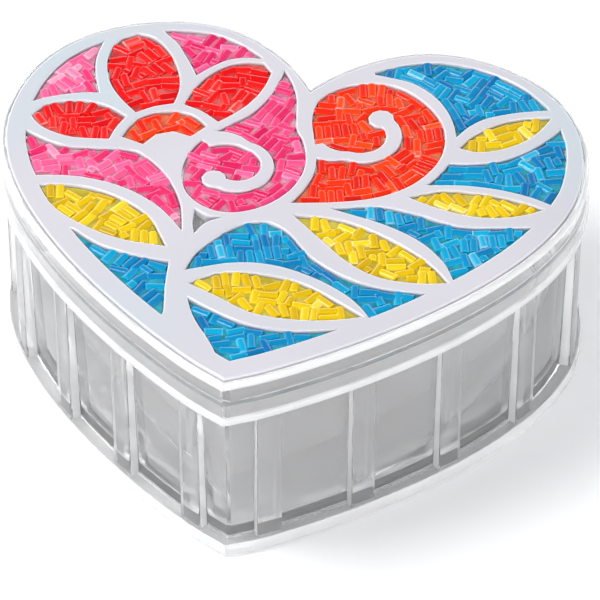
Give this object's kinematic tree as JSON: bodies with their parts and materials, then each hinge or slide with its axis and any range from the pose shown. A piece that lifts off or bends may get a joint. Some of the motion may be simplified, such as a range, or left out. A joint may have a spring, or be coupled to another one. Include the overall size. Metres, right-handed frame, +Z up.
{
  "type": "trinket box",
  "caption": "Heart-shaped clear plastic trinket box with a lift-off lid and a white openwork plate filled with bead mosaic.",
  "frame": {"origin": "on the table, under the middle of the box's outline", "axes": "+X across the two lobes, +Y from the tip towards the notch, +Z up through the lid"},
  "size_m": [0.1498, 0.1318, 0.06],
  "materials": {
    "clear": "clear moulded plastic, polished",
    "white": "glossy white moulded plastic with a lilac cast",
    "pink": "transparent bugle beads",
    "red": "transparent bugle beads",
    "orange": "transparent bugle beads",
    "yellow": "transparent bugle beads",
    "blue": "transparent bugle beads"
  },
  "bodies": {
    "root": {"box_base": "clear", "lid": "clear", "lid_plate": "white", "mosaic_pink_corner": "pink", "mosaic_red_petal_left": "red", "mosaic_red_petal_centre": "red", "mosaic_red_petal_right": "red", "mosaic_orange_arc": "orange", "mosaic_pink_top": "pink", "mosaic_pink_scroll": "pink", "mosaic_pink_lower": "pink", "mosaic_yellow_left": "yellow", "mosaic_blue_left": "blue", "mosaic_blue_wave": "blue", "mosaic_yellow_lower": "yellow", "mosaic_blue_tip": "blue", "mosaic_yellow_centre": "yellow", "mosaic_blue_right": "blue", "mosaic_yellow_right": "yellow", "mosaic_blue_lobe": "blue", "mosaic_yellow_lobe": "yellow", "mosaic_blue_top": "blue", "mosaic_orange_scroll": "orange"}
  },
  "joints": []
}
